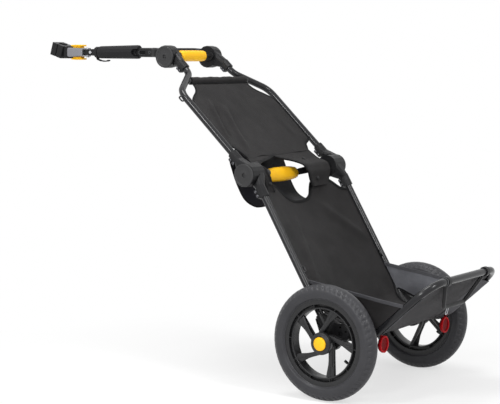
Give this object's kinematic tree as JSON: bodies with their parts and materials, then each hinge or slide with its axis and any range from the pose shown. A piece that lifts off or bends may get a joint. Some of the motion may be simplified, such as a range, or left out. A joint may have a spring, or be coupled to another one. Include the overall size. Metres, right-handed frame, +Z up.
{
  "type": "bike cargo trailer",
  "caption": "Folding bike cargo trailer: leaning tube frame with fabric panels, fold-down deck, spoked wheels and a quick-release arm that hangs on a seat post.",
  "frame": {"origin": "on the seat post's axis, in the middle of the clamp", "axes": "+X backwards, away from the bicycle; +Y to the trailer's right side; +Z up"},
  "size_m": [1.4052, 0.557, 0.9066],
  "materials": {
    "coupler_silver": "satin anodised",
    "fabric_black": "coated woven cloth, matte",
    "fabric_grey": "coated woven cloth, matte",
    "frame_black": "satin powder coat",
    "grip_black": "soft matte",
    "moulded_black": "fine moulded grain, satin",
    "moulded_grey": "fine moulded grain, satin",
    "reflector_red": "prismatic, glossy",
    "release_yellow": "smooth moulded, satin",
    "steel": "bright zinc plated",
    "tyre_rubber": "matte"
  },
  "bodies": {
    "lower_frame": {"left_lower_tube": "frame_black", "right_lower_tube": "frame_black", "left_mid_knuckle_lower": "moulded_black", "right_mid_knuckle_lower": "moulded_black", "left_mid_pivot": "moulded_grey", "right_mid_pivot": "moulded_grey", "left_axle_bracket": "moulded_black", "right_axle_bracket": "moulded_black", "axle_tube": "frame_black", "left_axle_pin": "steel", "right_axle_pin": "steel", "lower_fabric_panel": "fabric_black", "front_guard": "fabric_grey"},
    "upper_frame": {"left_upper_tube": "frame_black", "right_upper_tube": "frame_black", "upper_crossbar": "frame_black", "left_mid_knuckle_upper": "moulded_black", "right_mid_knuckle_upper": "moulded_black", "left_top_knuckle": "moulded_black", "right_top_knuckle": "moulded_black", "left_top_pivot": "moulded_grey", "right_top_pivot": "moulded_grey", "upper_fabric_panel": "fabric_black"},
    "tow_arm": {"arm_yoke": "moulded_black", "arm_grip": "grip_black", "arm_tube": "frame_black", "arm_end_cap": "moulded_black", "pitch_pin": "steel"},
    "mid_lever": {"mid_release_lever": "moulded_black", "mid_release_grip": "release_yellow"},
    "top_lever": {"top_release_lever": "moulded_black", "top_release_grip": "release_yellow"},
    "link": {"hitch_link": "moulded_black"},
    "coupler": {"coupler_body": "coupler_silver", "yaw_pin": "steel"},
    "upper_squeeze": {"upper_coupler_button": "release_yellow"},
    "lower_squeeze": {"lower_coupler_button": "release_yellow"},
    "post_clamp": {"receiver": "moulded_black", "clamp_cap": "moulded_black", "left_clamp_bolt": "steel", "right_clamp_bolt": "steel"},
    "deck": {"deck_tube": "frame_black", "left_deck_hinge": "moulded_black", "right_deck_hinge": "moulded_black", "deck_floor": "fabric_grey", "left_reflector": "reflector_red", "right_reflector": "reflector_red", "left_gusset": "fabric_grey", "right_gusset": "fabric_grey"},
    "foot": {"kickstand_foot": "frame_black"},
    "left_wheel_body": {"left_tyre": "tyre_rubber", "left_wheel": "moulded_black", "left_valve": "moulded_black"},
    "right_wheel_body": {"right_tyre": "tyre_rubber", "right_wheel": "moulded_black", "right_valve": "moulded_black"},
    "left_hub_button": {"left_wheel_button": "release_yellow"},
    "right_hub_button": {"right_wheel_button": "release_yellow"}
  },
  "joints": [
    {"name": "mid_fold", "type": "hinge", "parent": "lower_frame", "child": "upper_frame", "pos_m": [0.83593, 0, -0.32404], "axis": [0, 1, 0], "range_deg": [-140, 0], "deforming": ["front_guard"]},
    {"name": "top_fold", "type": "hinge", "parent": "upper_frame", "child": "tow_arm", "pos_m": [0.484, 0, -0.0175], "axis": [0, -1, 0], "range_deg": [-30, 120]},
    {"name": "mid_release", "type": "hinge", "parent": "lower_frame", "child": "mid_lever", "pos_m": [0.83593, 0, -0.32404], "axis": [0, 1, 0], "range_deg": [0, 25], "stiffness_Nm_per_rad": 1.2, "springref_deg": -20.05},
    {"name": "top_release", "type": "hinge", "parent": "upper_frame", "child": "top_lever", "pos_m": [0.484, 0, -0.0175], "axis": [0, 1, 0], "range_deg": [0, 20], "stiffness_Nm_per_rad": 1, "springref_deg": -20.05},
    {"name": "hitch_pitch", "type": "hinge", "parent": "tow_arm", "child": "link", "pos_m": [0.125, 0, -0.006], "axis": [0, 1, 0], "range_deg": [-28, 28]},
    {"name": "hitch_yaw", "type": "hinge", "parent": "link", "child": "coupler", "pos_m": [0.103, 0, -0.006], "axis": [0, 0, 1], "range_deg": [-60, 60]},
    {"name": "upper_squeeze", "type": "slide", "parent": "coupler", "child": "upper_squeeze", "axis": [0, 0, -1], "range_m": [0, 0.003], "stiffness_N_per_m": 900, "springref_m": -0.002},
    {"name": "lower_squeeze", "type": "slide", "parent": "coupler", "child": "lower_squeeze", "axis": [0, 0, 1], "range_m": [0, 0.003], "stiffness_N_per_m": 900, "springref_m": -0.002},
    {"name": "clamp_unplug", "type": "slide", "parent": "coupler", "child": "post_clamp", "axis": [-1, 0, 0], "range_m": [0, 0.045]},
    {"name": "deck_fold", "type": "hinge", "parent": "lower_frame", "child": "deck", "pos_m": [1.12796, 0, -0.71205], "axis": [0, -1, 0], "range_deg": [0, 72], "deforming": ["left_gusset", "right_gusset"]},
    {"name": "foot_fold", "type": "hinge", "parent": "deck", "child": "foot", "pos_m": [1.36614, 0, -0.57081], "axis": [0, -1, 0], "range_deg": [0, 66]},
    {"name": "left_wheel_spin", "type": "hinge", "parent": "lower_frame", "child": "left_wheel_body", "pos_m": [1.09896, -0.248, -0.73305], "axis": [0, 1, 0], "continuous": true},
    {"name": "right_wheel_spin", "type": "hinge", "parent": "lower_frame", "child": "right_wheel_body", "pos_m": [1.09896, 0.248, -0.73305], "axis": [0, 1, 0], "continuous": true},
    {"name": "left_button_push", "type": "slide", "parent": "left_wheel_body", "child": "left_hub_button", "axis": [0, 1, 0], "range_m": [0, 0.003], "stiffness_N_per_m": 700, "springref_m": -0.002},
    {"name": "right_button_push", "type": "slide", "parent": "right_wheel_body", "child": "right_hub_button", "axis": [0, -1, 0], "range_m": [0, 0.003], "stiffness_N_per_m": 700, "springref_m": -0.002}
  ]
}
